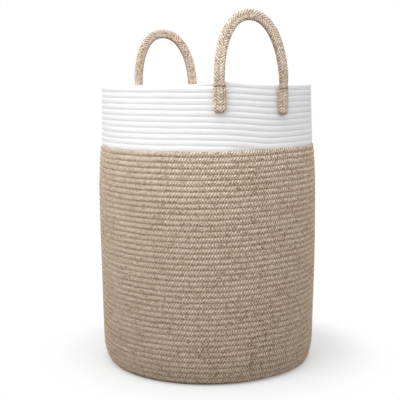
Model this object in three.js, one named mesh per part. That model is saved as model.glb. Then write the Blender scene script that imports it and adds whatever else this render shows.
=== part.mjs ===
import * as THREE from 'three';

// A tall laundry basket coiled from one rope and sewn round by round, with two rope handles.
// Lengths are millimetres, +Z is up and the floor is z = 0. The front handle is on the -Y side.
// An azimuth is measured at the basket's axis, from -Y towards +X.

// Wall of the basket
const rimHeight = 500;
const ropePitch = 9.25;
const ropeThickness = 9.5;
const grooveDepth = 1.6;
const bellyRadius = 196;
const bandRoundCount = 11;
const seamClearance = 0.3;
const thinnestStrip = 1;
const floorTrim = 0.5;

// The rope climbs towards smaller azimuths. Its colour changes at the splice, and it ends at the rim.
const columns = 40;
const rimEndAzimuth = THREE.MathUtils.degToRad(122);
const spliceColumn = 14;
const stepsPerRound = 2;
const spareRounds = 2;

// Radius over the rope, as [height share of rimHeight, radius share of bellyRadius]
const wallShares = [
  [0, 0.9255], [0.024, 0.949], [0.05, 0.9685], [0.08, 0.9815], [0.24, 0.992],
  [0.44, 0.9985], [0.64, 1], [0.72, 0.9915], [0.8, 0.9775],
];
const bandShares = [[0.76, 0.973], [0.8, 0.9685], [0.886, 0.96], [1, 0.9525]];

// Handles, each a braided rope that is flattened and sewn to the band at both ends. They sit a
// little off the middle, towards -X, and the left foot of each is sewn higher than the right one.
const handleTurn = THREE.MathUtils.degToRad(1);
const handleHalfSpan = 58;
const frontRise = 112.5;
const backRise = 103;
const archDrop = 4;
const handleWidth = 18;
const handleThickness = 12;
const archPower = 2.2;
const frontApexShift = -2.6;
const backApexShift = 5;
const footWidth = 22.5;
const footThickness = 9;
const footLength = 43;
const leftFootDrop = 2;
const rightFootDrop = 7.5;
const bendLength = 25;
const archSteps = 28;
const bendSteps = 4;
const sectionPoints = 12;
const sectionPower = 2.5;
const twistStartShare = 0.25;

// Sections of a foot, as shares of footLength, footWidth and footThickness
const footShares = [
  [0, 0.62, 0.4], [0.04, 0.84, 0.75], [0.13, 1, 1], [0.5, 1, 0.97], [0.86, 0.97, 1], [1, 0.87, 1.02],
];

// Box of stitches that holds a foot
const stitchWidth = 9;
const stitchHeight = 29;
const threadWidth = 1.2;
const threadThickness = 0.8;
const stitchDrop = 16.5;

const jute = new THREE.MeshStandardMaterial({ color: 0xc9ad85, roughness: 0.95, metalness: 0 });
const cotton = new THREE.MeshStandardMaterial({ color: 0xf1f0ec, roughness: 0.9, metalness: 0 });
const thread = new THREE.MeshStandardMaterial({ color: 0xd9c29c, roughness: 0.8, metalness: 0 });

function pointAt(radius, azimuth, height) {
  return new THREE.Vector3(radius * Math.sin(azimuth), -radius * Math.cos(azimuth), height);
}

function shareAt(shares, x) {
  let i = 1;
  while (i < shares.length - 1 && shares[i][0] < x) i += 1;
  const [x0, y0] = shares[i - 1];
  const [x1, y1] = shares[i];
  return THREE.MathUtils.mapLinear(x, x0, x1, y0, y1);
}

// A closed body from triangles of points: equal points are joined, collapsed triangles dropped,
// and the faces turned to point out.
function bodyFrom(triangles) {
  const points = [];
  const places = new Map();
  const indexOf = (point) => {
    const key = point.toArray().map((v) => v.toFixed(4)).join(' ');
    if (!places.has(key)) {
      places.set(key, points.length);
      points.push(point);
    }
    return places.get(key);
  };
  const faces = triangles
    .map((triangle) => triangle.map(indexOf))
    .filter(([a, b, c]) => a !== b && b !== c && c !== a);
  const volume = faces.reduce((sum, [a, b, c]) => {
    const cross = new THREE.Vector3().crossVectors(points[b], points[c]);
    return sum + points[a].dot(cross);
  }, 0);
  const outward = volume < 0 ? faces.map(([a, b, c]) => [a, c, b]) : faces;
  const geometry = new THREE.BufferGeometry();
  const coordinates = points.flatMap((point) => point.toArray());
  geometry.setAttribute('position', new THREE.Float32BufferAttribute(coordinates, 3));
  geometry.setIndex(outward.flat());
  geometry.computeVertexNormals();
  return geometry;
}

function quad(a, b, c, d) {
  return [[a, b, c], [a, c, d]];
}

// A body through a row of rings with equal counts of points, closed by a flat cap at each end
function loft(rings) {
  const triangles = [];
  const count = rings[0].length;
  for (let i = 0; i + 1 < rings.length; i += 1) {
    for (let k = 0; k < count; k += 1) {
      const next = (k + 1) % count;
      triangles.push(...quad(rings[i][k], rings[i][next], rings[i + 1][next], rings[i + 1][k]));
    }
  }
  const first = rings[0];
  const last = rings[rings.length - 1];
  for (let k = 1; k + 1 < count; k += 1) {
    triangles.push([first[0], first[k + 1], first[k]], [last[0], last[k], last[k + 1]]);
  }
  return bodyFrom(triangles);
}

// Basket

// Height of the uppermost rope round, which gains one pitch in a full turn of columns
function topOfCoil(column) {
  return rimHeight - ropePitch * (1 - column / columns);
}

// Height where cotton rope takes over from jute. One more jute round lies before the splice.
function colourLine(column) {
  const extraRound = column < spliceColumn ? 1 : 0;
  return topOfCoil(column) - (bandRoundCount - extraRound) * ropePitch;
}

function wallRadiusAt(height) {
  return bellyRadius * shareAt(wallShares, height / rimHeight);
}

function bandRadiusAt(height) {
  return bellyRadius * shareAt(bandShares, height / rimHeight);
}

function insideWallAt(height) {
  return wallRadiusAt(Math.max(height, ropeThickness)) - ropeThickness;
}

function insideBandAt(height) {
  return bandRadiusAt(height) - ropeThickness;
}

// The wall between two heights. Outside, every rope round is a rib between two grooves that climb
// with the rope; inside it is smooth. Columns go round with the rope, and the last one meets the
// first one a round higher.
function coiledWall(lowAt, highAt, outsideAt, insideAt, insideShares) {
  const lowestRound = Math.ceil(rimHeight / ropePitch) + spareRounds;
  const loops = [];
  for (let column = 0; column < columns; column += 1) {
    const azimuth = rimEndAzimuth - (column * 2 * Math.PI) / columns;
    const low = lowAt(column);
    const high = highAt(column);
    const held = (height) => {
      if (height > high - thinnestStrip) return high;
      return height < low + thinnestStrip ? low : height;
    };
    const outside = [];
    for (let n = lowestRound * stepsPerRound; n >= -spareRounds * stepsPerRound; n -= 1) {
      const free = topOfCoil(column) - (n * ropePitch) / stepsPerRound;
      const height = held(free);
      const onRib = n % stepsPerRound !== 0 && height === free;
      const radius = outsideAt(height) - (onRib ? 0 : grooveDepth);
      outside.push(pointAt(radius, azimuth, height));
    }
    const inside = insideShares.map((share) => {
      const height = held(share * rimHeight);
      return pointAt(insideAt(height), azimuth, height);
    });
    loops.push({ outside, inside });
  }
  const triangles = [];
  for (let column = 0; column < columns; column += 1) {
    const here = loops[column];
    const there = loops[(column + 1) % columns];
    const lift = column + 1 < columns ? 0 : stepsPerRound;
    const ribs = here.outside.length;
    for (let k = 0; k + 1 + lift < ribs; k += 1) {
      const [a, b] = [here.outside[k], here.outside[k + 1]];
      const [c, d] = [there.outside[k + 1 + lift], there.outside[k + lift]];
      triangles.push(...quad(a, b, c, d));
    }
    const back = [here.outside[ribs - 1], ...here.inside, here.outside[0]];
    const backThere = [there.outside[ribs - 1], ...there.inside, there.outside[0]];
    for (let k = 0; k + 1 < back.length; k += 1) {
      triangles.push(...quad(back[k], back[k + 1], backThere[k + 1], backThere[k]));
    }
  }
  return bodyFrom(triangles);
}

function wallCoil() {
  const shares = [1, 0.72, 0.64, 0.44, 0.24, 0.08, 0.05, ropeThickness / rimHeight, 0];
  const highAt = (column) => colourLine(column) - seamClearance / 2;
  return coiledWall(() => 0, highAt, wallRadiusAt, insideWallAt, shares);
}

function bandCoil() {
  const lowAt = (column) => colourLine(column) + seamClearance / 2;
  return coiledWall(lowAt, topOfCoil, bandRadiusAt, insideBandAt, [1, 0.886, 0]);
}

// The flat floor of the basket, which fits inside the lowest round of the wall
function baseCoil() {
  const radius = insideWallAt(0) - seamClearance;
  const top = ropeThickness - floorTrim;
  const azimuths = Array.from({ length: columns }, (_, i) => rimEndAzimuth - (i * 2 * Math.PI) / columns);
  const rings = [0, top].map((height) => azimuths.map((azimuth) => pointAt(radius, azimuth, height)));
  return loft(rings);
}

// Handles. A handle is built on the -Y side, and the back one is turned half round.

const bendTop = rimHeight - leftFootDrop + bendLength;
const archBottom = rimHeight - archDrop;
const seatRadius = bandRadiusAt(rimHeight - rightFootDrop - footLength) + seamClearance;
const legRadius = seatRadius + handleThickness / 2;
const footAzimuth = Math.asin(handleHalfSpan / legRadius);
const handlePlane = legRadius * Math.cos(footAzimuth);

function riseShare(height, arch) {
  return Math.max(0, (height - archBottom) / arch.rise);
}

// Half of the arch's width at a height
function archHalfWidth(height, arch) {
  return handleHalfSpan * (1 - riseShare(height, arch) ** archPower) ** (1 / archPower);
}

function apexLean(height, arch) {
  return arch.apexShift * riseShare(height, arch) ** 2;
}

// One section of the handle's rope: flat sides with full round edges
function sectionRing(centre, along, facing, width, thickness) {
  const side = new THREE.Vector3().crossVectors(along, facing).normalize();
  const out = new THREE.Vector3().crossVectors(side, along).normalize();
  return Array.from({ length: sectionPoints }, (_, k) => {
    const angle = (k * 2 * Math.PI) / sectionPoints;
    const rounded = (v) => Math.sign(v) * Math.abs(v) ** (2 / sectionPower);
    return centre.clone()
      .addScaledVector(side, (rounded(Math.cos(angle)) * width) / 2)
      .addScaledVector(out, (rounded(Math.sin(angle)) * thickness) / 2);
  });
}

// The rope faces straight away from the wall at its feet, and turns into the handle's plane above.
function facingAt(height, side, arch) {
  const untwisted = THREE.MathUtils.smoothstep(riseShare(height, arch), twistStartShare, 1);
  return pointAt(1, side * footAzimuth * (1 - untwisted), 0);
}

function archPoint(angle, arch) {
  const across = Math.sign(Math.cos(angle)) * Math.abs(Math.cos(angle)) ** (2 / archPower);
  const height = archBottom + arch.rise * Math.sin(angle) ** (2 / archPower);
  const x = apexLean(height, arch) - handleHalfSpan * across;
  return new THREE.Vector3(x, -handlePlane, height);
}

function handleLoop(arch) {
  const start = Math.asin(riseShare(bendTop, arch) ** (archPower / 2));
  const angles = Array.from({ length: archSteps + 1 }, (_, i) => (
    THREE.MathUtils.lerp(start, Math.PI - start, i / archSteps)
  ));
  const points = angles.map((angle) => archPoint(angle, arch));
  const rings = points.map((point, i) => {
    const along = new THREE.Vector3(0, 0, i === 0 ? 1 : -1);
    if (i > 0 && i < archSteps) along.subVectors(points[i + 1], points[i - 1]).normalize();
    const facing = facingAt(point.z, Math.sign(point.x), arch);
    return sectionRing(point, along, facing, handleWidth, handleThickness);
  });
  return loft(rings);
}

// The short stretch of rope that bends when the handle is swung
function handleBend(side, footDrop, arch) {
  const [, topWidthShare, topThicknessShare] = footShares[footShares.length - 1];
  const low = rimHeight - footDrop + seamClearance;
  const high = bendTop - seamClearance;
  const up = new THREE.Vector3(0, 0, 1);
  const rings = Array.from({ length: bendSteps + 1 }, (_, i) => {
    const share = i / bendSteps;
    const height = THREE.MathUtils.lerp(low, high, share);
    const width = THREE.MathUtils.lerp(footWidth * topWidthShare, handleWidth, share);
    const thickness = THREE.MathUtils.lerp(footThickness * topThicknessShare, handleThickness, share);
    const facing = facingAt(height, side, arch);
    const centre = pointAt(seatRadius + thickness / 2, side * footAzimuth, height);
    const narrowing = handleHalfSpan - archHalfWidth(height, arch);
    centre.x += apexLean(height, arch) - side * narrowing * share;
    return sectionRing(centre, up, facing, width, thickness);
  });
  return loft(rings);
}

// The flattened end of the rope that lies on the band, with its tip tucked in
function handleFoot(side, footDrop) {
  const up = new THREE.Vector3(0, 0, 1);
  const facing = pointAt(1, side * footAzimuth, 0);
  const rings = footShares.map(([heightShare, widthShare, thicknessShare]) => {
    const thickness = footThickness * thicknessShare;
    const height = rimHeight - footDrop - footLength * (1 - heightShare);
    const centre = pointAt(seatRadius + thickness / 2, side * footAzimuth, height);
    return sectionRing(centre, up, facing, footWidth * widthShare, thickness);
  });
  return loft(rings);
}

function rectangle(path, width, height) {
  path.moveTo(-width / 2, -height / 2);
  path.lineTo(width / 2, -height / 2);
  path.lineTo(width / 2, height / 2);
  path.lineTo(-width / 2, height / 2);
  path.closePath();
  return path;
}

// A closed box of thread on the outer face of a foot
function footStitch() {
  const outline = rectangle(new THREE.Shape(), stitchWidth + threadWidth, stitchHeight + threadWidth);
  outline.holes.push(rectangle(new THREE.Path(), stitchWidth - threadWidth, stitchHeight - threadWidth));
  return new THREE.ExtrudeGeometry(outline, { depth: threadThickness, bevelEnabled: false });
}

function namedMesh(name, geometry, material) {
  const mesh = new THREE.Mesh(geometry, material);
  mesh.name = name;
  return mesh;
}

function handle(name, arch) {
  const group = new THREE.Group();
  group.add(namedMesh(`${name}_handle_loop`, handleLoop(arch), jute));
  for (const [sideName, side, footDrop] of [['left', -1, leftFootDrop], ['right', 1, rightFootDrop]]) {
    group.add(namedMesh(`${name}_handle_bend_${sideName}`, handleBend(side, footDrop, arch), jute));
    group.add(namedMesh(`${name}_handle_foot_${sideName}`, handleFoot(side, footDrop), jute));
    const stitch = namedMesh(`${name}_foot_stitch_${sideName}`, footStitch(), thread);
    const height = rimHeight - stitchDrop - footDrop;
    stitch.position.copy(pointAt(seatRadius + footThickness + seamClearance, side * footAzimuth, height));
    stitch.rotation.order = 'ZXY';
    stitch.rotation.set(Math.PI / 2, 0, side * footAzimuth);
    group.add(stitch);
  }
  return group;
}

const basket = new THREE.Group();
basket.add(namedMesh('base_coil', baseCoil(), jute));
basket.add(namedMesh('wall_coil', wallCoil(), jute));
basket.add(namedMesh('band_coil', bandCoil(), cotton));
const frontHandle = handle('front', { rise: frontRise, apexShift: frontApexShift });
frontHandle.rotation.z = -handleTurn;
const backHandle = handle('back', { rise: backRise, apexShift: backApexShift });
backHandle.rotation.z = Math.PI + handleTurn;
basket.add(frontHandle, backHandle);

export default basket;
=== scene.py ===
"""Tall laundry basket coiled from rope, with a white cotton band and two braided rope handles.

Lengths are metres, +Z is up and the floor is z = 0. The front handle is on the -Y side.
An azimuth is measured at the basket's axis, from -Y towards +X. A turn counts the rounds of the
coiled rope downwards from the rim, where turn 0 is at an azimuth of 122 degrees.
"""

import math

import bpy
import numpy as np
from mathutils import Matrix, Vector


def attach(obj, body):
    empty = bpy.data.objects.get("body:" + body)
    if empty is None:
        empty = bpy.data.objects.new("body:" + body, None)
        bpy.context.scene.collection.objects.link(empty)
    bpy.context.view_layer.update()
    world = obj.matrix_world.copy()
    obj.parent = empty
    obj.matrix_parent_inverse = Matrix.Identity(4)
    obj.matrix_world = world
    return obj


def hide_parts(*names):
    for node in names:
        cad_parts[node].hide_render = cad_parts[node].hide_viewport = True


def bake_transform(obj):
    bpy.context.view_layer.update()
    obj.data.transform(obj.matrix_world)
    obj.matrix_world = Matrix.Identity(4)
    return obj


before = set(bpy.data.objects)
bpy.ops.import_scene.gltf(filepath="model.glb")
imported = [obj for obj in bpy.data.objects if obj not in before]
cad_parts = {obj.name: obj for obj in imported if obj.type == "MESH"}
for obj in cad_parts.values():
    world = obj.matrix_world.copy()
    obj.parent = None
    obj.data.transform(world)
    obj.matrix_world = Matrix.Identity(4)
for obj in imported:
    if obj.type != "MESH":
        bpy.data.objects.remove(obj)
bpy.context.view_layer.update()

bl_info = {
    "name": "Rope laundry basket",
    "version": (1, 0, 0),
    "blender": (4, 5, 0),
    "location": "3D View > Sidebar > Basket",
    "description": "Winds, sews and lights a tall coiled rope basket with two rope handles",
    "category": "Add Mesh",
}

MILLIMETRE = 0.001
SMOOTH_ANGLE = math.radians(75)

# Coil. The white rope's end on the rim lies before turn 0. Where the ropes meet, the white one
# tapers out at its start azimuth, and the jute's end is hidden behind the white row.
RIM_HEIGHT = 0.5
TURN_START_AZIMUTH = math.radians(122)
ROPE_END_TURN = -0.43
WHOLE_BAND_TURNS = 10
COTTON_START_AZIMUTH = math.radians(4)
JUTE_END_AZIMUTH = math.radians(60)

# Tapers of the ropes' ends, as (turns that one takes, least share of the rope's height)
KEEP_UPPER, KEEP_LOWER = 1, -1
ROPE_TIP_TAPER = (0.03, 0.35)
ROPE_THINNING = (0.4, 0.72)
COTTON_START_TAPER = (0.058, 0.06)
JUTE_END_TAPER = (0.5, 0.06)
CENTRE_TAPER = (0.5, 0.5)
LEAST_DEPTH_SHARE = 0.4

# Outer radius over the rope, as (height share of the rim, share of the belly radius)
WALL_SHARES = [
    (0, 0.9255), (0.024, 0.949), (0.05, 0.9685), (0.08, 0.9815), (0.24, 0.992),
    (0.44, 0.9985), (0.64, 1), (0.72, 0.9915), (0.765, 0.983), (0.79, 0.974), (0.81, 0.968),
]
BAND_SHARES = [(0.76, 0.973), (0.8, 0.9685), (0.886, 0.96), (1, 0.9525)]
JUTE_STEPS_PER_TURN = 768
COTTON_STEPS_PER_TURN = 576
MARKS_PER_TURN = 256
WALL_PARTS = 5
BASE_STEP = 0.0024

# A hand-sewn wall sways in and out and its rows ripple, which fades out near the floor.
SWAY_DEPTH = 0.00045
RIPPLE_HEIGHT = 0.00012
UPRIGHT_HEIGHT = 0.03

# How far the rows lie above an even coil, as (height, millimetres at these azimuths in degrees).
# The white rows dip where their lowest one ends at the splice, and the jute rows rise a little.
# Spread is the offsets in degrees over which a lift is averaged.
LIFT_AZIMUTHS = [-110, -28, -11, 2, 7, 20, 31, 60, 250]
LIFT_SPREAD = (-5, -2.5, 0, 2.5, 5)
JUTE_LIFTS = [
    (0.00, [0, 0, 0, 0, 0, 0, 0, 0, 0]),
    (0.03, [-0.1, -0.1, 1.0, 2.0, 2.2, 2.5, 2.5, 2.0, -0.1]),
    (0.09, [-0.8, -0.6, 1.4, 3.6, 3.9, 3.6, 3.6, 3.0, -0.8]),
    (0.16, [-0.8, -0.4, 1.0, 2.6, 3.3, 3.9, 3.6, 3.0, -0.8]),
    (0.22, [-1.2, -0.8, 0.8, 2.2, 3.2, 4.0, 3.4, 3.0, -1.2]),
    (0.29, [-1.5, -1.3, 0.0, 1.2, 1.6, 3.0, 2.4, 2.2, -1.5]),
    (0.35, [-1.3, -1.1, -0.6, 0.3, 0.8, 2.3, 2.0, 2.0, -1.3]),
    (0.40, [-1.4, -1.2, -0.8, 0.3, 0.4, 1.8, 2.0, 2.0, -1.4]),
]
COTTON_LIFTS = [
    (0.380, [-1.4, -1.3, -2.0, -8.0, -9.0, -9.0, -8.3, -7.0, -1.4]),
    (0.416, [-1.5, -1.4, -2.7, -7.4, -8.6, -8.9, -8.0, -6.5, -1.5]),
    (0.449, [0.0, -0.2, -1.4, -5.3, -6.8, -7.4, -6.6, -5.0, 0.0]),
    (0.481, [0.6, 0.5, -0.6, -3.4, -4.9, -5.2, -4.9, -3.5, 0.6]),
    (0.500, [1.0, 2.0, 1.1, -2.4, -3.2, -4.5, -4.5, -2.5, 1.0]),
]

# Places round the rope's section, in degrees from its outer crest: closer where the section shows.
SECTION_ANGLES = [0, 24, 48, 70, 90, 118, 150, 180, 210, 242, 270, 290, 312, 336]
# The section is the power of its superellipse, and its height as a share of the pitch.
JUTE = {"shares": WALL_SHARES, "lifts": JUTE_LIFTS, "section": (2.5, 1.1)}
COTTON = {"shares": BAND_SHARES, "lifts": COTTON_LIFTS, "section": (3.2, 1.21)}
STRAND_ROUNDNESS = 0.7
STRAND_SHIFT = 0.5
COIL_BRAID_LEVEL = 0.6
# Keeps the strands of the braid's two sides apart where their tones are drawn
SIDE_STEP = 7919

# Zigzag seam between the rounds, as shares of the rope's thickness and pitch. It starts some turns
# after the white rope's end.
SEAM_DEPTH_SHARE = 0.93
SEAM_SWING_SHARE = 0.2
SEAM_LEAD = 0.03

# Handle, from foot to foot. Each sits a little off the middle, its left foot higher than its right,
# and its arch leans sideways, given as (lean of the apex, power of its growth with the height).
HANDLE_TURN = math.radians(1)
ARCH_POWER = 2.2
ARCH_DROP = 0.004
LEFT_FOOT_DROP = 0.002
RIGHT_FOOT_DROP = 0.0075
FOOT_LENGTH = 0.043
BEND_LENGTH = 0.025
SEAT_OFFSET = -0.0002
FRONT_LEAN = (-0.0043, 1)
BACK_LEAN = (0.005, 2)
ARCH_POINTS = 1200
NARROWING_BELOW = 0.011
NARROWING_LENGTH = 0.018
TWIST_START_SHARE = 0.25
HANDLE_SIDES = 48
RING_STEP = 0.0006
BRAID_MARK = 0.0048
BRAID_SLOPE = 1.6
HANDLE_SECTION_POWER = 2.5

# Tip of a foot: how far its rounding reaches, with the least share of the width and thickness
TIP_WIDTH = (0.009, 0.45)
TIP_THICKNESS = (0.006, 0.3)
FLAT_TIP_LENGTH = 0.01
FLAT_TIP_RELIEF = 0.4
# Painted shade at the tip of a foot: how far it reaches, and how dark it is at the tip
TIP_SHADE_LENGTH = 0.006
TIP_SHADE_SHARE = 0.6

# Furrow along the middle of the braid, its width as a share of the half width
FURROW_DEPTH = 0.0009
FURROW_WIDTH = 0.16

# Box of stitches on each foot
STITCH_DROP = 0.0165
BOX_HALF_HEIGHT = 0.0145
BOX_HALF_WIDTH = 0.0045
STITCH_LENGTH = 0.0031
STITCH_GAP = 0.0012
STITCH_FLATNESS = 0.8
STITCH_SINK = 0.0009
PRESS_DEPTH = 0.0012
PRESS_SHARE = 0.7
TOP_ROW_WIDTH = 0.0014
BOTTOM_ROW_WIDTH = 0.0012
COLUMN_WIDTH = 0.001

# Tints of painted shade that darken the jute: in the gaps between strands, low on a row, in the
# dips of the stitches and at the feet's tips, and near the floor
GAP_SHADE_TINT = (0.22, 0.16, 0.11, 1)
ROW_SHADE_TINT = (0.42, 0.33, 0.25, 1)
STITCH_SHADE_TINT = (0.3, 0.22, 0.15, 1)
FLOOR_SHADE_TINT = (0.42, 0.36, 0.32, 1)

# Stage. The floor turns white between two distances from the axis, and is a little white before.
FLOOR_SIZE = 30
UNSEEN_FLOOR = (0.42, 0.42, 0.42, 1)
FADE_START, FADE_END = 0.23, 0.35
LEAST_FADE = 0.3
WHITE = (1, 1, 1, 1)
ROOM_STRENGTH = 0.92


def length_property(name, description, default):
    """A size in metres that a user may change"""
    return bpy.props.FloatProperty(
        name=name, description=description, default=default, min=0, precision=5, unit="LENGTH"
    )


def colour_property(name, description, default):
    """A surface colour that a user may change, in linear red, green and blue"""
    return bpy.props.FloatVectorProperty(
        name=name, description=description, default=default, min=0, max=1, size=3, subtype="COLOR"
    )


class BasketSizes(bpy.types.PropertyGroup):
    """Sizes of the coil, the handles and the threads"""

    belly_radius: length_property("Belly radius", "Radius over the rope where it is widest", 0.196)
    rope_pitch: length_property("Rope pitch", "Height that the coil gains in one round", 0.00925)
    rope_thickness: length_property("Rope thickness", "Thickness of the coiled rope", 0.0095)
    jute_relief: length_property("Jute relief", "Depth of the jute rope's braid", 0.00045)
    cotton_relief: length_property("Cotton relief", "Depth of the cotton rope's braid", 0.00015)
    handle_half_span: length_property("Handle half span", "From a handle's middle to a leg", 0.058)
    front_rise: length_property("Front rise", "Height of the front handle's arch", 0.1125)
    back_rise: length_property("Back rise", "Height of the back handle's arch", 0.103)
    handle_width: length_property("Handle width", "Width of the braided handle rope", 0.018)
    handle_thickness: length_property("Handle thickness", "Thickness of the handle rope", 0.012)
    foot_width: length_property("Foot width", "Width of a sewn handle end", 0.0225)
    foot_thickness: length_property("Foot thickness", "Thickness of a sewn handle end", 0.009)
    handle_relief: length_property("Handle relief", "Depth of the braid on the handles", 0.0007)
    seam_thread: length_property("Seam thread", "Thickness of the thread between rounds", 0.0006)
    seam_stitch: length_property("Seam stitch", "Length of one leg of the zigzag seam", 0.0029)
    foot_thread: length_property("Foot thread", "Thickness of the thread on a handle end", 0.0011)


class BasketColours(bpy.types.PropertyGroup):
    """Colours of the ropes and threads"""

    jute_pale: colour_property("Pale jute", "Colour of the palest strands", (0.99, 0.88, 0.745))
    jute_straw: colour_property("Straw jute", "Colour of the middling strands", (0.86, 0.685, 0.52))
    jute_brown: colour_property("Brown jute", "Colour of the darkest strands", (0.36, 0.255, 0.165))
    braid_pale: colour_property("Pale braid", "Handles' palest strands", (0.95, 0.83, 0.7))
    braid_straw: colour_property("Straw braid", "Handles' middling strands", (0.74, 0.585, 0.46))
    braid_brown: colour_property("Brown braid", "Handles' darkest strands", (0.36, 0.26, 0.17))
    cotton: colour_property("Cotton", "Colour of the cotton rope", (0.9, 0.9, 0.905))
    floor: colour_property("Floor", "Colour of the floor", (0.85, 0.865, 0.875))


def sizes():
    """The sizes that are set in the scene"""
    return bpy.context.scene.basket_sizes


def colours():
    """The colours that are set in the scene"""
    return bpy.context.scene.basket_colours


# Objects and meshes


def deselect_all():
    """Leaves nothing selected, so that an operator acts on its own piece alone"""
    bpy.ops.object.select_all(action="DESELECT")


def tube(name, sides, steps):
    """A straight tube of rings, made from a circle. Its points run ring by ring."""
    deselect_all()
    bpy.ops.mesh.primitive_circle_add(vertices=sides, radius=1)
    piece = bpy.context.active_object
    piece.name = name
    piece.data.name = name
    rings = piece.modifiers.new("Rings", "SCREW")
    rings.angle = 0
    rings.screw_offset = 1
    rings.steps = steps
    rings.render_steps = steps
    rings.use_merge_vertices = False
    bpy.ops.object.modifier_apply(modifier=rings.name)
    return piece


def place_points(piece, points):
    """Moves the mesh's points to their places, given as an array of rings by sides by three"""
    piece.data.vertices.foreach_set("co", points.reshape(-1).astype(np.float32))
    piece.data.update()


def close_and_smooth(piece):
    """Closes both ends of a tube, turns its faces outwards and shades it smooth"""
    deselect_all()
    bpy.context.view_layer.objects.active = piece
    piece.select_set(True)
    bpy.ops.object.mode_set(mode="EDIT")
    bpy.ops.mesh.select_mode(type="EDGE")
    bpy.ops.mesh.select_all(action="DESELECT")
    bpy.ops.mesh.select_non_manifold()
    bpy.ops.mesh.fill_holes(sides=0)
    bpy.ops.mesh.select_all(action="SELECT")
    bpy.ops.mesh.normals_make_consistent(inside=False)
    bpy.ops.object.mode_set(mode="OBJECT")
    bpy.ops.object.shade_smooth_by_angle(angle=SMOOTH_ANGLE)
    deselect_all()


def corner_steps(piece, sides):
    """For each corner of each face: its ring, and its place in the ring counted past the last one
    where the face closes the ring"""
    corners = np.empty(len(piece.data.loops), np.int64)
    piece.data.loops.foreach_get("vertex_index", corners)
    ring, side = np.divmod(corners.reshape(-1, 4), sides)
    wraps = (side.max(1) - side.min(1)) > 1
    side = np.where(wraps[:, None] & (side == 0), sides, side)
    return ring.ravel(), side.ravel()


def write_map(piece, name, u, v):
    """Adds a UV map with these places, one for each corner"""
    layer = piece.data.uv_layers.new(name=name)
    layer.uv.foreach_set("vector", np.stack([u, v], 1).ravel().astype(np.float32))


def write_mask(piece, name, values):
    """Adds a value for each point that a material can read"""
    mask = piece.data.attributes.new(name, "FLOAT", "POINT")
    mask.data.foreach_set("value", values.reshape(-1).astype(np.float32))


def dress(piece, body, material, nodes):
    """Gives a finished piece its material and its body, and hides the nodes that it stands for"""
    piece.data.materials.clear()
    piece.data.materials.append(material)
    if body:
        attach(piece, body)
    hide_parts(*nodes)


def share_at(shares, values):
    """Reads a table of shares at many places"""
    return np.interp(values, [place for place, _ in shares], [share for _, share in shares])


def smooth(share):
    """Eases a share from 0 to 1 at both ends"""
    share = np.clip(share, 0, 1)
    return share * share * (3 - 2 * share)


def bell(distance, width):
    """One at no distance, falling away softly over about the width"""
    return np.exp(-((distance / width) ** 2))


def rounded_end(distance, length, least):
    """Grows as a quarter round from the least share at an end to one at the given length"""
    share = np.clip(distance / length, 0, 1)
    return least + (1 - least) * np.sqrt(1 - (1 - share) ** 2)


def strand_height(mark, across, slope):
    """Height of the braid's strands, from 0 in the gaps to 1. A mark is one strand's width along
    the rope, and across runs from 0 at a crest to 1 or -1 at the edges."""
    phase = mark - slope * np.abs(across) + np.where(across > 0, STRAND_SHIFT, 0)
    return np.abs(np.sin(np.pi * phase)) ** STRAND_ROUNDNESS


# Materials


def add_node(tree, kind, place, **settings):
    """Adds a node at a place on the sheet. Settings are its own, or the values of its inputs."""
    node = tree.nodes.new(kind)
    node.location = place
    for name, value in settings.items():
        if hasattr(node, name):
            setattr(node, name, value)
        else:
            node.inputs[name.replace("_", " ")].default_value = value
    return node


def feed(tree, socket, value):
    """Links an input to another socket, or sets it to a number or colour"""
    if isinstance(value, bpy.types.NodeSocket):
        tree.links.new(value, socket)
    else:
        socket.default_value = value


def calculate(tree, operation, place, *inputs):
    """Adds a Math node fed by sockets or numbers, and returns its output"""
    node = add_node(tree, "ShaderNodeMath", place, operation=operation)
    for socket, value in zip(node.inputs, inputs):
        feed(tree, socket, value)
    return node.outputs[0]


def blend_colours(tree, place, mode, factor, first, second):
    """Adds a Mix node for colours and returns its output"""
    node = add_node(tree, "ShaderNodeMix", place, data_type="RGBA", blend_type=mode)
    feed(tree, node.inputs[0], factor)
    feed(tree, node.inputs[6], first)
    feed(tree, node.inputs[7], second)
    return node.outputs[2]


def new_group(name, inputs, outputs):
    """An empty node group. Inputs are (name, socket type, default), outputs (name, socket type)."""
    group = bpy.data.node_groups.new(name, "ShaderNodeTree")
    for socket, kind, default in inputs:
        made = group.interface.new_socket(socket, in_out="INPUT", socket_type=kind)
        if default is not None:
            made.default_value = default
    for socket, kind in outputs:
        group.interface.new_socket(socket, in_out="OUTPUT", socket_type=kind)
    start = add_node(group, "NodeGroupInput", (-1100, 0))
    end = add_node(group, "NodeGroupOutput", (900, 0))
    return group, start.outputs, end.inputs


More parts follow.
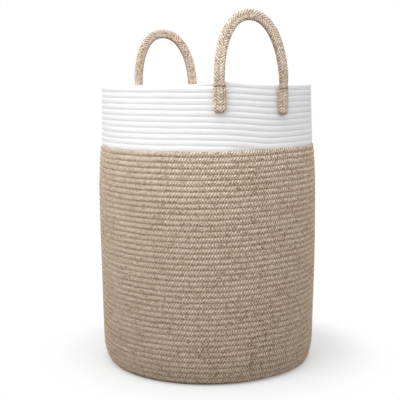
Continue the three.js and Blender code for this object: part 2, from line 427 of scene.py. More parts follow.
def braid_group():
    """Strands of a braid: their height, the gaps between them, a tone for each and its fibres"""
    if "Rope braid" in bpy.data.node_groups:
        return bpy.data.node_groups["Rope braid"]
    number = "NodeSocketFloat"
    group, given, wanted = new_group(
        "Rope braid",
        [
            ("Place", "NodeSocketVector", None),
            ("Slope", number, 1.0),
            ("Shift", number, STRAND_SHIFT),
            ("Gap", number, 0.3),
        ],
        [("Height", number), ("Gaps", number), ("Tone", number), ("Fibre", number)],
    )
    parts = add_node(group, "ShaderNodeSeparateXYZ", (-900, 0))
    group.links.new(given["Place"], parts.inputs[0])
    along, across = parts.outputs[0], parts.outputs[1]
    away = calculate(group, "ABSOLUTE", (-700, -80), across)
    lean = calculate(group, "MULTIPLY", (-540, -80), away, given["Slope"])
    side = calculate(group, "GREATER_THAN", (-700, -240), across, 0.0)
    shift = calculate(group, "MULTIPLY", (-540, -240), side, given["Shift"])
    leaning = calculate(group, "SUBTRACT", (-380, 0), along, lean)
    phase = calculate(group, "ADD", (-220, 0), leaning, shift)
    turned = calculate(group, "MULTIPLY", (-60, 0), phase, math.pi)
    wave = calculate(group, "SINE", (100, 0), turned)
    height = calculate(group, "ABSOLUTE", (260, 0), wave)
    round_height = calculate(group, "POWER", (420, 0), height, STRAND_ROUNDNESS)
    group.links.new(round_height, wanted["Height"])
    edge = add_node(
        group, "ShaderNodeMapRange", (420, -160), interpolation_type="SMOOTHSTEP",
        To_Min=1, To_Max=0,
    )
    group.links.new(height, edge.inputs["Value"])
    group.links.new(given["Gap"], edge.inputs["From Max"])
    group.links.new(edge.outputs["Result"], wanted["Gaps"])
    strand = calculate(group, "FLOOR", (-60, -320), phase)
    column = calculate(group, "MULTIPLY_ADD", (100, -320), side, SIDE_STEP, strand)
    dice = add_node(group, "ShaderNodeTexWhiteNoise", (260, -320), noise_dimensions="1D")
    group.links.new(column, dice.inputs["W"])
    group.links.new(dice.outputs["Value"], wanted["Tone"])
    strip = add_node(group, "ShaderNodeCombineXYZ", (-60, -500))
    group.links.new(calculate(group, "MULTIPLY", (-220, -500), phase, 5.0), strip.inputs[0])
    group.links.new(calculate(group, "MULTIPLY", (-220, -640), across, 1.6), strip.inputs[1])
    fibre = add_node(
        group, "ShaderNodeTexNoise", (100, -500), Scale=1.0, Detail=3.0, Roughness=0.65
    )
    group.links.new(strip.outputs[0], fibre.inputs["Vector"])
    group.links.new(fibre.outputs[0], wanted["Fibre"])
    return group


def new_material(name, roughness, specular):
    """A material with its node tree and its Principled shader"""
    material = bpy.data.materials.new(name)
    material.use_nodes = True
    shader = material.node_tree.nodes["Principled BSDF"]
    shader.inputs["Roughness"].default_value = roughness
    shader.inputs["Specular IOR Level"].default_value = specular
    return material, material.node_tree, shader


def rope_material(
    name, shades, slope, gap, gap_depth, mottle, lower_shade, floor_shade, bump_depth
):
    """Braided rope. Shades are (place on the ramp, colour), from dark to pale. Gap is the width of
    the gaps between strands that are darkened with painted shade, gap depth is how dark they are,
    and mottle is how far the tones of the fibres differ. Lower shade is painted shade on the rope's
    lower side (a handle's inner edge), as (place across the rope where it starts to darken, how far
    it darkens), and floor shade is painted shade, how far the rope darkens from the rim to the
    floor."""
    if name in bpy.data.materials:
        return bpy.data.materials[name]
    material, tree, shader = new_material(name, roughness=0.95, specular=0.2)
    place = add_node(tree, "ShaderNodeUVMap", (-1500, 0), uv_map="Braid")
    braid = add_node(tree, "ShaderNodeGroup", (-1250, 0), node_tree=braid_group())
    tree.links.new(place.outputs[0], braid.inputs["Place"])
    braid.inputs["Slope"].default_value = slope
    braid.inputs["Gap"].default_value = gap
    spot = add_node(tree, "ShaderNodeTexCoord", (-1500, -400))
    patches = add_node(tree, "ShaderNodeTexNoise", (-1250, -400), Scale=22.0, Detail=3.0)
    tree.links.new(spot.outputs["Object"], patches.inputs["Vector"])
    speckle = add_node(tree, "ShaderNodeTexNoise", (-1250, -650), Scale=330.0, Detail=2.0)
    tree.links.new(spot.outputs["Object"], speckle.inputs["Vector"])
    tones = (
        (patches.outputs[0], 0.3), (braid.outputs["Tone"], 0.16), (braid.outputs["Fibre"], 0.9),
        (speckle.outputs[0], 1.9),
    )
    mixed = 0.5 - mottle * sum(weight for _, weight in tones) / 2
    for i, (source, weight) in enumerate(tones):
        mixed = calculate(
            tree, "MULTIPLY_ADD", (i * 150 - 1000, 100), source, mottle * weight, mixed
        )
    ramp = add_node(tree, "ShaderNodeValToRGB", (-400, 100))
    while len(ramp.color_ramp.elements) < len(shades):
        ramp.color_ramp.elements.new(0.5)
    for element, (position, colour) in zip(ramp.color_ramp.elements, shades):
        element.position = position
        element.color = (*colour, 1)
    tree.links.new(mixed, ramp.inputs[0])
    # Painted shade in the gaps between the strands
    gaps = calculate(tree, "MULTIPLY", (-400, -200), braid.outputs["Gaps"], gap_depth)
    dark = blend_colours(tree, (-100, 100), "MULTIPLY", gaps, ramp.outputs[0], GAP_SHADE_TINT)
    # Painted shade on the lower side of each row, or on a handle's inner edge, speckled
    parts = add_node(tree, "ShaderNodeSeparateXYZ", (-1250, 250))
    tree.links.new(place.outputs[0], parts.inputs[0])
    downwards = calculate(tree, "MULTIPLY", (-1000, 350), parts.outputs[1], -1.0)
    shade_start, shade_depth = lower_shade
    edge = add_node(
        tree, "ShaderNodeMapRange", (-850, 350), interpolation_type="SMOOTHSTEP",
        From_Min=shade_start, To_Max=shade_depth,
    )
    tree.links.new(downwards, edge.inputs["Value"])
    speckled_shade = calculate(tree, "MULTIPLY", (-650, 250), speckle.outputs[0], 2.0)
    speckled_shade = calculate(tree, "MULTIPLY", (-500, 350), speckled_shade, edge.outputs["Result"])
    row_shaded = blend_colours(tree, (100, 100), "MULTIPLY", speckled_shade, dark, ROW_SHADE_TINT)
    # Painted shade in the dips where the stitches press the rope in, and at the feet's tips
    press = add_node(tree, "ShaderNodeAttribute", (-100, 350), attribute_name="press_and_tip_shade")
    stitch_shaded = blend_colours(tree, (250, 100), "MULTIPLY", press.outputs["Fac"], row_shaded, STITCH_SHADE_TINT)
    # Painted shade, growing from the rim down to the floor
    level = add_node(tree, "ShaderNodeSeparateXYZ", (-100, 550))
    tree.links.new(spot.outputs["Object"], level.inputs[0])
    low = add_node(
        tree, "ShaderNodeMapRange", (80, 550), From_Min=RIM_HEIGHT, From_Max=0, To_Max=floor_shade
    )
    tree.links.new(level.outputs[2], low.inputs["Value"])
    floor_shaded = blend_colours(tree, (400, 100), "MULTIPLY", low.outputs["Result"], stitch_shaded, FLOOR_SHADE_TINT)
    tree.links.new(floor_shaded, shader.inputs["Base Color"])
    fibres = calculate(
        tree, "MULTIPLY_ADD", (-700, -400), braid.outputs["Fibre"], 0.6, braid.outputs["Height"]
    )
    bump = add_node(tree, "ShaderNodeBump", (-400, -500), Strength=1.0, Distance=bump_depth)
    tree.links.new(fibres, bump.inputs["Height"])
    tree.links.new(bump.outputs[0], shader.inputs["Normal"])
    return material


def jute_rope():
    """Material of the coiled jute rope"""
    own = colours()
    shades = [(0.1, own.jute_brown), (0.45, own.jute_straw), (0.8, own.jute_pale)]
    return rope_material(
        "Jute rope", shades, slope=1.0, gap=0.75, gap_depth=1.0, mottle=1.2,
        lower_shade=(-0.1, 0.65), floor_shade=0.55, bump_depth=0.0008,
    )


def jute_braid():
    """Material of the braided handles"""
    own = colours()
    shades = [(0.05, own.braid_brown), (0.4, own.braid_straw), (0.75, own.braid_pale)]
    return rope_material(
        "Jute braid", shades, slope=BRAID_SLOPE, gap=0.55, gap_depth=0.8, mottle=1.1,
        lower_shade=(0.55, 0.5), floor_shade=0.0, bump_depth=0.0006,
    )


def cotton_rope():
    """Material of the coiled cotton rope"""
    white = np.array(colours().cotton)
    shades = [(0.0, tuple(white * 0.96)), (0.5, tuple(white)), (1.0, tuple(white * 1.02))]
    return rope_material(
        "Cotton rope", shades, slope=1.0, gap=0.5, gap_depth=0.03, mottle=0.5,
        lower_shade=(1.0, 0.0), floor_shade=0.0, bump_depth=0.0002,
    )


def thread_material(name, colour):
    """Twisted sewing thread in one colour, with its ply as fine slanting bands"""
    if name in bpy.data.materials:
        return bpy.data.materials[name]
    material, tree, shader = new_material(name, roughness=0.7, specular=0.35)
    spot = add_node(tree, "ShaderNodeTexCoord", (-900, 0))
    ply = add_node(tree, "ShaderNodeTexWave", (-700, 0), Scale=900.0, Distortion=1.5)
    tree.links.new(spot.outputs["Object"], ply.inputs["Vector"])
    shade = calculate(tree, "MULTIPLY", (-450, -100), ply.outputs["Fac"], 0.3)
    dark = tuple(c * 0.75 for c in colour)
    mixed = blend_colours(tree, (-250, 100), "MIX", shade, (*colour, 1), (*dark, 1))
    tree.links.new(mixed, shader.inputs["Base Color"])
    bump = add_node(tree, "ShaderNodeBump", (-250, -200), Strength=0.6, Distance=0.0001)
    tree.links.new(ply.outputs["Fac"], bump.inputs["Height"])
    tree.links.new(bump.outputs[0], shader.inputs["Normal"])
    return material


# Coiled rope


def turn_near_splice(azimuth):
    """The turn in the lowest round of the band, or the topmost of the wall, at an azimuth"""
    return WHOLE_BAND_TURNS + ((azimuth - TURN_START_AZIMUTH) / (2 * math.pi)) % 1


def floor_turn():
    """The turn where the rope reaches the floor and begins to spiral inwards"""
    own = sizes()
    return (RIM_HEIGHT - own.rope_pitch / 2 - own.rope_thickness / 2) / own.rope_pitch


def row_lift(lifts, azimuth, height):
    """How far the rows lie above an even coil at these places, smoothed along the rows"""
    degrees = np.degrees(azimuth - math.radians(LIFT_AZIMUTHS[0])) % 360 + LIFT_AZIMUTHS[0]
    heights = [row_height for row_height, _ in lifts]
    place = np.interp(height, heights, np.arange(len(heights)))
    low = np.minimum(place.astype(int), len(heights) - 2)
    rows = np.array([
        np.mean([np.interp(degrees + spread, LIFT_AZIMUTHS, row) for spread in LIFT_SPREAD], axis=0)
        for _, row in lifts
    ])
    below = np.take_along_axis(rows, low[None], 0)[0]
    above = np.take_along_axis(rows, low[None] + 1, 0)[0]
    return (below + (above - below) * (place - low)) * MILLIMETRE


def rope_point(turn, out, up, rope):
    """Points of the coil at these turns, moved outwards and upwards from the rope's middle"""
    own = sizes()
    azimuth = TURN_START_AZIMUTH + 2 * math.pi * turn
    lowest = own.rope_thickness / 2
    height = np.maximum(RIM_HEIGHT - own.rope_pitch / 2 - own.rope_pitch * turn, lowest)
    radius = own.belly_radius * share_at(rope["shares"], height / RIM_HEIGHT)
    radius = radius - own.rope_thickness / 2 - own.rope_pitch * np.maximum(turn - floor_turn(), 0)
    upright = np.clip((height - lowest) / UPRIGHT_HEIGHT, 0, 1)
    sway = np.sin(3 * azimuth + 1.3 + 9 * height) + 0.7 * np.sin(5 * azimuth - 2.1 + 23 * height)
    radius = radius + SWAY_DEPTH * sway * upright + out
    ripple = np.sin(11 * azimuth + 40 * turn) + np.sin(17 * azimuth - 31 * turn + 0.8)
    lift = row_lift(rope["lifts"], azimuth, height)
    height = np.maximum(height + up + (RIPPLE_HEIGHT * ripple + lift) * upright, 0)
    return np.stack([radius * np.sin(azimuth), -radius * np.cos(azimuth), height], -1)


def wind_rope(name, first, last, steps, marks, rope, relief, tapers):
    """One length of coiled rope between two turns, with its braid in relief. Marks says at which
    strand mark a turn lies. Tapers are (turn, reach, least share, edge that is kept)."""
    own = sizes()
    sides = len(SECTION_ANGLES)
    power, swell = rope["section"]
    piece = tube(name, sides, steps)
    angles = np.radians(SECTION_ANGLES)
    turn = np.linspace(first, last, steps + 1)[:, None]
    out_share = np.sign(np.cos(angles)) * np.abs(np.cos(angles)) ** (2 / power)
    up_share = np.sign(np.sin(angles)) * np.abs(np.sin(angles)) ** (2 / power)
    across = np.arcsin(np.sin(angles)) / (math.pi / 2)
    mark = marks(turn)
    raised = relief * (strand_height(mark, across[None, :], 1.0) - COIL_BRAID_LEVEL)
    thin = np.ones_like(turn)
    shift = np.zeros_like(turn)
    for end, reach, least, kept_edge in tapers:
        share = least + (1 - least) * np.clip(np.abs(turn - end) / reach, 0, 1)
        thin = thin * share
        shift = shift + kept_edge * own.rope_pitch / 2 * (1 - share)
    depth_share = LEAST_DEPTH_SHARE + (1 - LEAST_DEPTH_SHARE) * thin
    half_out = own.rope_thickness / 2 * depth_share + raised
    half_up = own.rope_pitch / 2 * swell * thin + raised * np.abs(np.cos(angles))
    place_points(piece, rope_point(turn, out_share * half_out, up_share * half_up + shift, rope))
    ring, side = corner_steps(piece, sides)
    per_vertex = np.append(across, across[0])
    write_map(piece, "Braid", mark[ring, 0], per_vertex[side])
    low_ring = np.repeat(ring.reshape(-1, 4).min(1), 4)
    strips = math.ceil(last - first)
    strip, spent = np.divmod((last - first) * low_ring / steps, 1)
    spent = spent + (ring - low_ring) * (last - first) / steps
    # The map for baking has a strip for each turn. A face that crosses a strip's end stays in it.
    longest = 1 + 1 / JUTE_STEPS_PER_TURN
    write_map(piece, "OFBake", spent / longest, (strip + side / sides) / strips)
    close_and_smooth(piece)
    return piece


def wall_marks(turn):
    """Strand mark at a turn of the wall or band"""
    return turn * MARKS_PER_TURN


class BASKET_OT_band_rope(bpy.types.Operator):
    """Wind the cotton rope of the band"""

    bl_idname = "basket.band_rope"
    bl_label = "Wind the cotton band"

    def execute(self, context):
        start = turn_near_splice(COTTON_START_AZIMUTH)
        steps = round((start - ROPE_END_TURN) * COTTON_STEPS_PER_TURN)
        tapers = [
            (ROPE_END_TURN, *ROPE_TIP_TAPER, KEEP_LOWER),
            (ROPE_END_TURN, *ROPE_THINNING, KEEP_LOWER),
            (start, *COTTON_START_TAPER, KEEP_UPPER),
        ]
        relief = sizes().cotton_relief
        piece = wind_rope(
            "band_rope", ROPE_END_TURN, start, steps, wall_marks, COTTON, relief, tapers
        )
        dress(piece, "basket", cotton_rope(), ["band_coil"])
        return {"FINISHED"}


class BASKET_OT_wall_rope(bpy.types.Operator):
    """Wind the jute rope of the wall, in lengths of some nine rounds"""

    bl_idname = "basket.wall_rope"
    bl_label = "Wind the jute wall"

    def execute(self, context):
        start = turn_near_splice(JUTE_END_AZIMUTH)
        tapers = [(start, *JUTE_END_TAPER, KEEP_LOWER)]
        relief = sizes().jute_relief
        cuts = np.linspace(start, floor_turn(), WALL_PARTS + 1)
        for i in range(WALL_PARTS):
            first, last = cuts[i], cuts[i + 1]
            steps = round((last - first) * JUTE_STEPS_PER_TURN)
            piece = wind_rope(
                f"wall_rope_{i + 1}", first, last, steps, wall_marks, JUTE, relief, tapers
            )
            dress(piece, "basket", jute_rope(), ["wall_coil"])
        return {"FINISHED"}


class BASKET_OT_base_rope(bpy.types.Operator):
    """Wind the flat spiral of jute rope that is the floor of the basket"""

    bl_idname = "basket.base_rope"
    bl_label = "Wind the base"

    def execute(self, context):
        own = sizes()
        start = floor_turn()
        share = float(share_at(WALL_SHARES, own.rope_thickness / 2 / RIM_HEIGHT))
        outside = own.belly_radius * share - own.rope_thickness / 2
        turns = outside / own.rope_pitch
        length = math.pi * outside * turns
        mark_length = 2 * math.pi * outside / MARKS_PER_TURN

        def marks(turn):
            """Strand mark at a turn of the spiral, where the rounds grow shorter"""
            wound = turn - start
            travelled = 2 * math.pi * (outside * wound - own.rope_pitch * wound ** 2 / 2)
            return wall_marks(start) + travelled / mark_length

        steps = round(length / BASE_STEP)
        tapers = [(start + turns, *CENTRE_TAPER, KEEP_LOWER)]
        piece = wind_rope(
            "base_rope", start, start + turns, steps, marks, JUTE, own.jute_relief, tapers
        )
        dress(piece, "basket", jute_rope(), ["base_coil"])
        return {"FINISHED"}


class BASKET_OT_seam_thread(bpy.types.Operator):
    """Sew the rounds together with a zigzag of thin thread along each seam"""

    bl_idname = "basket.seam_thread"
    bl_label = "Sew the seams"

    def sew(self, name, first, last, rope, material):
        """Sews the seams below the rounds between two turns"""
        own = sizes()
        legs = round(2 * math.pi * own.belly_radius / own.seam_stitch)
        steps = round((last - first) * legs)
        corners = np.radians([0, 90, 180, 270])
        piece = tube(name, len(corners), steps)
        turn = np.linspace(first, last, steps + 1)[:, None]
        swing = np.where(np.arange(steps + 1) % 2 == 0, 1.0, -1.0)[:, None]
        width = own.seam_thread / 2
        swing = swing * own.rope_pitch * SEAM_SWING_SHARE
        out = own.rope_thickness / 2 * SEAM_DEPTH_SHARE + width * np.cos(corners)
        up = -own.rope_pitch / 2 + swing + width * np.sin(corners)
        place_points(piece, rope_point(turn, out, up, rope))
        close_and_smooth(piece)
        dress(piece, "basket", material, [])

    def execute(self, context):
        own = colours()
        white = thread_material("White thread", tuple(own.cotton))
        straw = thread_material("Straw thread", tuple(own.jute_straw))
        cotton_start = turn_near_splice(COTTON_START_AZIMUTH)
        jute_end = turn_near_splice(JUTE_END_AZIMUTH)
        floor = floor_turn()
        middle = (jute_end + floor) / 2
        self.sew("seam_thread_band", ROPE_END_TURN + SEAM_LEAD, cotton_start - 1, COTTON, white)
        self.sew("seam_thread_upper_wall", jute_end + JUTE_END_TAPER[0], middle, JUTE, straw)
        self.sew("seam_thread_lower_wall", middle, floor - 1, JUTE, straw)
        return {"FINISHED"}


# Handles. Both are made on the -Y side, and the back one is turned half round.


def handle_seat():
    """Radius where the feet are seated: the band's outside at the bottom of the lower foot, less
    what the seam of the stitches pulls it in"""
    share = share_at(BAND_SHARES, (RIM_HEIGHT - RIGHT_FOOT_DROP - FOOT_LENGTH) / RIM_HEIGHT)
    return float(sizes().belly_radius * share) + SEAT_OFFSET


def foot_azimuth():
    """Azimuth of a leg of the handle"""
    own = sizes()
    return math.asin(own.handle_half_span / (handle_seat() + own.handle_thickness / 2))


def handle_line(rise, lean):
    """The handle's rope from its left foot's tip to its right one's, in even steps: length run,
    middle line, width, thickness, azimuth that it faces, and height below the top of the foot.
    Lean is (sideways lean at the apex, power of its growth)."""
    own = sizes()
    apex_shift, lean_power = lean
    seat, turned = handle_seat(), foot_azimuth()
    plane = -(seat + own.handle_thickness / 2) * math.cos(turned)
    left_top, right_top = RIM_HEIGHT - LEFT_FOOT_DROP, RIM_HEIGHT - RIGHT_FOOT_DROP
    bend_top = left_top + BEND_LENGTH
    arch_bottom = RIM_HEIGHT - ARCH_DROP

    def risen(height):
        """Share of the arch's rise at a height"""
        return np.clip((height - arch_bottom) / rise, 0, 1)

    left = np.arange(left_top - FOOT_LENGTH, bend_top, RING_STEP / 3)
    right = np.arange(right_top - FOOT_LENGTH, bend_top, RING_STEP / 3)[::-1]
    start = math.asin(risen(bend_top) ** (ARCH_POWER / 2))
    angle = np.linspace(start, math.pi - start, ARCH_POINTS)
    power = 2 / ARCH_POWER
    arch_x = -own.handle_half_span * np.sign(np.cos(angle)) * np.abs(np.cos(angle)) ** power
    arch_z = arch_bottom + rise * np.sin(angle) ** power
    height = np.concatenate([left, arch_z, right])
    side = np.concatenate([-np.ones(len(left)), np.sign(arch_x), np.ones(len(right))])
    foot_top = np.where(side < 0, left_top, right_top)
    eased = smooth((height - foot_top) / (bend_top - foot_top))
    thickness = own.foot_thickness + (own.handle_thickness - own.foot_thickness) * eased
    narrowing = smooth((height - foot_top + NARROWING_BELOW) / NARROWING_LENGTH)
    width = own.foot_width + (own.handle_width - own.foot_width) * narrowing
    tip = height - foot_top + FOOT_LENGTH
    width = width * rounded_end(tip, *TIP_WIDTH)
    thickness = thickness * rounded_end(tip, *TIP_THICKNESS)
    seated = seat + thickness / 2
    half_span = own.handle_half_span * (1 - risen(height) ** ARCH_POWER) ** (1 / ARCH_POWER)
    x = side * (seated * math.sin(turned) * (1 - eased) + half_span * eased)
    x[len(left):len(left) + len(angle)] = arch_x
    x = x + apex_shift * risen(height) ** lean_power
    y = -seated * math.cos(turned) * (1 - eased) + plane * eased
    middle = np.stack([x, y, height], 1)
    twisted = smooth((risen(height) - TWIST_START_SHARE) / (1 - TWIST_START_SHARE))
    facing = side * turned * (1 - twisted)
    run = np.concatenate([[0], np.cumsum(np.linalg.norm(np.diff(middle, axis=0), axis=1))])
    even = np.linspace(0, run[-1], round(run[-1] / RING_STEP) + 1)
    middle = np.stack([np.interp(even, run, middle[:, i]) for i in range(3)], 1)
    others = (width, thickness, facing, foot_top - height)
    return even, middle, *(np.interp(even, run, values) for values in others)


def pressed_in(below_top, across):
    """How deep the box of stitches presses the rope in on the outer face of a foot, as a share"""
    from_middle = below_top - STITCH_DROP
    top_row = bell(from_middle + BOX_HALF_HEIGHT, TOP_ROW_WIDTH)
    bottom_row = PRESS_SHARE * bell(from_middle - BOX_HALF_HEIGHT, BOTTOM_ROW_WIDTH)
    sideways = np.abs(across) * sizes().foot_width / 2 - BOX_HALF_WIDTH
    within = np.clip((BOX_HALF_HEIGHT - np.abs(from_middle)) / COLUMN_WIDTH, 0, 1)
    column = PRESS_SHARE * bell(sideways, COLUMN_WIDTH) * within
    bottom_row = bottom_row * np.clip(1 - sideways / COLUMN_WIDTH, 0, 1)
    return np.clip(top_row + bottom_row + column, 0, 1)


class BASKET_OT_handles(bpy.types.Operator):
    """Braid both handles, each one rope from foot to foot"""

    bl_idname = "basket.handles"
    bl_label = "Braid the handles"

    def braid(self, side_name, rise, lean, turned):
        """Braids one handle, and turns it about the basket's axis to its side"""
        own = sizes()
        run, middle, width, thickness, facing, below_top = handle_line(rise, lean)
        piece = tube(f"{side_name}_handle", HANDLE_SIDES, len(run) - 1)
        along = np.gradient(middle, axis=0)
        along /= np.linalg.norm(along, axis=1, keepdims=True)
        face = np.stack([np.sin(facing), -np.cos(facing), np.zeros_like(facing)], 1)
        side = np.cross(along, face)
        side /= np.linalg.norm(side, axis=1, keepdims=True)
        out = np.cross(side, along)
        angle = np.linspace(0, 2 * math.pi, HANDLE_SIDES, endpoint=False)[None, :]
        power = 2 / HANDLE_SECTION_POWER
        flat = np.sign(np.cos(angle)) * np.abs(np.cos(angle)) ** power
        thick = np.sign(np.sin(angle)) * np.abs(np.sin(angle)) ** power
        across = -np.cos(angle) * np.ones_like(run)[:, None]
        mark = (run / BRAID_MARK)[:, None]
        from_tip = (FOOT_LENGTH - below_top)[:, None]
        formed = np.clip(from_tip / FLAT_TIP_LENGTH, 0, 1)
        strands = strand_height(mark, across, BRAID_SLOPE) - 1
        outer_face = np.clip(np.sin(angle) * 3, 0, 1)
        press = pressed_in(below_top[:, None], across) * outer_face
        relief_share = FLAT_TIP_RELIEF + (1 - FLAT_TIP_RELIEF) * formed
        raised = own.handle_relief * strands * relief_share
        furrow = FURROW_DEPTH * bell(across, FURROW_WIDTH) * formed
        half_width = width[:, None] / 2 + raised
        half_thick = thickness[:, None] / 2 + raised - furrow - PRESS_DEPTH * press
        points = (
            middle[:, None, :]
            + side[:, None, :] * (flat * half_width)[..., None]
            + out[:, None, :] * (thick * half_thick)[..., None]
        )
        place_points(piece, points)
        ring, place = corner_steps(piece, HANDLE_SIDES)
        across_row = -np.cos(np.linspace(0, 2 * math.pi, HANDLE_SIDES + 1))
        write_map(piece, "Braid", mark[ring, 0], across_row[place])
        write_map(piece, "OFBake", ring / (len(run) - 1), place / HANDLE_SIDES)
        # Painted shade at the tip of the foot, added to the dips of the stitches
        tip_shade = TIP_SHADE_SHARE * np.clip(1 - from_tip / TIP_SHADE_LENGTH, 0, 1)
        write_mask(piece, "press_and_tip_shade", np.clip(press + tip_shade, 0, 1))
        close_and_smooth(piece)
        piece.data.transform(Matrix.Rotation(turned, 4, "Z"))
        names = ["loop", "bend_left", "bend_right", "foot_left", "foot_right"]
        nodes = [f"{side_name}_handle_{name}" for name in names]
        dress(piece, None, jute_braid(), nodes)
        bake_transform(piece)

    def execute(self, context):
        own = sizes()
        self.braid("front", own.front_rise, FRONT_LEAN, -HANDLE_TURN)
        self.braid("back", own.back_rise, BACK_LEAN, math.pi + HANDLE_TURN)
        return {"FINISHED"}


class BASKET_OT_foot_stitches(bpy.types.Operator):
    """Sew each handle end to the band with a box of single stitches"""

    bl_idname = "basket.foot_stitches"
    bl_label = "Sew the handle ends"

    def stitch(self):
        """One stitch, a flat bead along X"""
        thread = sizes().foot_thread
        deselect_all()
        bpy.ops.mesh.primitive_uv_sphere_add(segments=8, ring_count=6, radius=thread / 2)
        piece = bpy.context.active_object
        bpy.ops.object.mode_set(mode="EDIT")
        bpy.ops.mesh.select_all(action="SELECT")
        bpy.ops.transform.resize(value=(STITCH_LENGTH / thread, 1, STITCH_FLATNESS))
        bpy.ops.object.mode_set(mode="OBJECT")
        return piece

    def box(self, half_width, half_height):
        """Middles and directions of the stitches round the box"""
        corners = [(-1, -1), (1, -1), (1, 1), (-1, 1)]
        for i, start in enumerate(corners):
            end = corners[(i + 1) % len(corners)]
            start = np.array(start) * (half_width, half_height)
            end = np.array(end) * (half_width, half_height)
            length = np.linalg.norm(end - start)
            count = round(length / (STITCH_LENGTH + STITCH_GAP))
            for k in range(count):
                yield start + (end - start) * (k + 0.5) / count, end - start

    def execute(self, context):
        straw = thread_material("Straw thread", tuple(colours().jute_straw))
        radius = handle_seat() + sizes().foot_thickness - STITCH_SINK
        for side_name, turned in (("front", -HANDLE_TURN), ("back", math.pi + HANDLE_TURN)):
            for foot, sign, drop in (("left", -1, LEFT_FOOT_DROP), ("right", 1, RIGHT_FOOT_DROP)):
                middle = RIM_HEIGHT - drop - STITCH_DROP
                turn = Matrix.Rotation(sign * foot_azimuth() + turned, 4, "Z")
                pieces = []
                for (across, up), direction in self.box(BOX_HALF_WIDTH, BOX_HALF_HEIGHT):
                    piece = self.stitch()
                    lean = math.atan2(direction[1], direction[0])
                    flat = Matrix.Rotation(math.pi / 2, 4, "X") @ Matrix.Rotation(lean, 4, "Z")
                    place = Matrix.Translation((across, -radius, middle + up))
                    piece.data.transform(turn @ place @ flat)
                    pieces.append(piece)
                deselect_all()
                for piece in pieces:
                    piece.select_set(True)
                bpy.context.view_layer.objects.active = pieces[0]
                bpy.ops.object.join()
                box = bpy.context.active_object
                box.name = f"{side_name}_stitches_{foot}"
                bpy.ops.object.shade_smooth()
                dress(box, "basket", straw, [f"{side_name}_foot_stitch_{foot}"])
        return {"FINISHED"}


# Stage


def seen_rays(tree):
    """1 for rays that the camera sees, straight or by a reflection, and 0 for the others"""
    rays = add_node(tree, "ShaderNodeLightPath", (-1000, 400))
    seen = calculate(
        tree, "MAXIMUM", (-800, 400), rays.outputs["Is Camera Ray"], rays.outputs["Is Glossy Ray"]
    )
    return calculate(tree, "MAXIMUM", (-600, 400), seen, rays.outputs["Is Transmission Ray"])


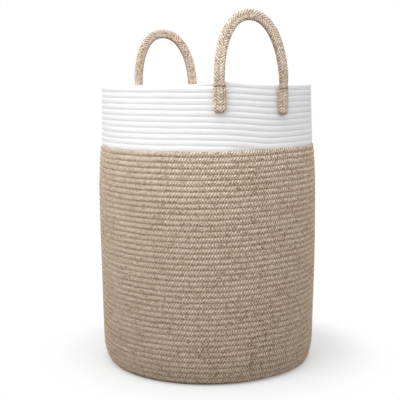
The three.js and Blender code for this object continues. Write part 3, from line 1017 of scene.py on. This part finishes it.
class BASKET_OT_stage(bpy.types.Operator):
    """Set the floor, the light and the camera"""

    bl_idname = "basket.stage"
    bl_label = "Set the stage"

    def floor(self):
        """A pale floor that takes the basket's shadow and turns plain white away from it. It is
        less pale for rays that light the basket."""
        deselect_all()
        bpy.ops.mesh.primitive_plane_add(size=FLOOR_SIZE)
        floor = bpy.context.active_object
        floor.name = "floor"
        material, tree, shader = new_material("Pale floor", roughness=0.9, specular=0.0)
        seen = seen_rays(tree)
        pale = (*colours().floor, 1)
        shade = blend_colours(tree, (-200, 200), "MIX", seen, UNSEEN_FLOOR, pale)
        tree.links.new(shade, shader.inputs["Base Color"])
        spot = add_node(tree, "ShaderNodeTexCoord", (-1000, -100))
        distance = add_node(tree, "ShaderNodeVectorMath", (-800, -100), operation="LENGTH")
        tree.links.new(spot.outputs["Object"], distance.inputs[0])
        away = add_node(
            tree, "ShaderNodeMapRange", (-600, -100), interpolation_type="SMOOTHSTEP",
            From_Min=FADE_START, From_Max=FADE_END, To_Min=LEAST_FADE,
        )
        tree.links.new(distance.outputs["Value"], away.inputs["Value"])
        faded = calculate(tree, "MULTIPLY", (-300, 0), seen, away.outputs["Result"])
        white = add_node(tree, "ShaderNodeEmission", (0, -100), Strength=1.0, Color=WHITE)
        pick = add_node(tree, "ShaderNodeMixShader", (250, 0))
        tree.links.new(faded, pick.inputs[0])
        tree.links.new(shader.outputs[0], pick.inputs[1])
        tree.links.new(white.outputs[0], pick.inputs[2])
        tree.links.new(pick.outputs[0], tree.nodes["Material Output"].inputs["Surface"])
        floor.data.materials.append(material)

    def lamp(self, name, power, size, azimuth, distance, height, aim):
        """A square soft light at an azimuth in degrees, aimed at a height on the basket's axis"""
        data = bpy.data.lights.new(name, "AREA")
        data.energy = power
        data.size = size
        lamp = bpy.data.objects.new(name, data)
        bpy.context.scene.collection.objects.link(lamp)
        azimuth = math.radians(azimuth)
        lamp.location = (math.sin(azimuth) * distance, -math.cos(azimuth) * distance, height)
        away = Vector(lamp.location) - Vector((0, 0, aim))
        lamp.rotation_euler = away.to_track_quat("Z", "Y").to_euler()

    def light(self):
        """A white room, a large soft light from the left and one from above in front"""
        world = bpy.data.worlds.new("White room")
        bpy.context.scene.world = world
        world.use_nodes = True
        tree = world.node_tree
        room = tree.nodes["Background"]
        room.inputs["Color"].default_value = WHITE
        strength = add_node(tree, "ShaderNodeMapRange", (-200, 0), To_Min=ROOM_STRENGTH)
        tree.links.new(seen_rays(tree), strength.inputs["Value"])
        tree.links.new(strength.outputs["Result"], room.inputs["Strength"])
        self.lamp(
            "Window light", power=8.0, size=1.3, azimuth=-72, distance=1.6, height=1.65, aim=0.4
        )
        self.lamp(
            "Top light", power=8.4, size=1.2, azimuth=-45, distance=0.75, height=1.55, aim=0.3
        )

    def camera(self):
        """A camera placed and aimed as the photograph's was found to be"""
        azimuth, distance, height = math.radians(-24.7), 1.593, 0.499
        pitch, roll, yaw = math.radians(7.5), math.radians(0.6), math.radians(0.476)
        focal_pixels, frame_pixels, sensor = 877, 400, 36
        camera = bpy.data.cameras.new("Camera")
        camera.sensor_width = sensor
        camera.lens = focal_pixels / frame_pixels * sensor
        view = bpy.data.objects.new("Camera", camera)
        bpy.context.scene.collection.objects.link(view)
        place = Vector((math.sin(azimuth) * distance, -math.cos(azimuth) * distance, height))
        aimed = azimuth + yaw
        level = Vector((-math.sin(aimed), math.cos(aimed), 0))
        forward = level * math.cos(pitch) - Vector((0, 0, math.sin(pitch)))
        right = forward.cross(Vector((0, 0, 1))).normalized()
        up = right.cross(forward)
        rolled = right * math.cos(roll) - up * math.sin(roll)
        upright = up * math.cos(roll) + right * math.sin(roll)
        axes = Matrix((rolled, upright, -forward)).transposed()
        view.matrix_world = Matrix.Translation(place) @ axes.to_4x4()
        bpy.context.scene.camera = view
        bpy.context.scene.view_settings.view_transform = "Standard"

    def execute(self, context):
        self.camera()
        self.floor()
        self.light()
        return {"FINISHED"}


class BASKET_PT_panel(bpy.types.Panel):
    """Buttons for each step of the making"""

    bl_label = "Rope laundry basket"
    bl_space_type = "VIEW_3D"
    bl_region_type = "UI"
    bl_category = "Basket"

    def draw(self, context):
        for operator in OPERATORS:
            self.layout.operator(operator.bl_idname)


OPERATORS = (
    BASKET_OT_stage,
    BASKET_OT_band_rope,
    BASKET_OT_wall_rope,
    BASKET_OT_base_rope,
    BASKET_OT_seam_thread,
    BASKET_OT_handles,
    BASKET_OT_foot_stitches,
)
CLASSES = (BasketSizes, BasketColours, *OPERATORS, BASKET_PT_panel)


def register():
    """Makes the classes known, and gives the scene its sizes and colours"""
    for cls in CLASSES:
        bpy.utils.register_class(cls)
    bpy.types.Scene.basket_sizes = bpy.props.PointerProperty(type=BasketSizes)
    bpy.types.Scene.basket_colours = bpy.props.PointerProperty(type=BasketColours)


def unregister():
    """Undoes register"""
    del bpy.types.Scene.basket_colours
    del bpy.types.Scene.basket_sizes
    for cls in reversed(CLASSES):
        bpy.utils.unregister_class(cls)


def main():
    """Makes the whole basket"""
    register()
    bpy.ops.basket.stage()
    bpy.ops.basket.band_rope()
    bpy.ops.basket.wall_rope()
    bpy.ops.basket.base_rope()
    bpy.ops.basket.seam_thread()
    bpy.ops.basket.handles()
    bpy.ops.basket.foot_stitches()


if __name__ == "__main__":
    main()
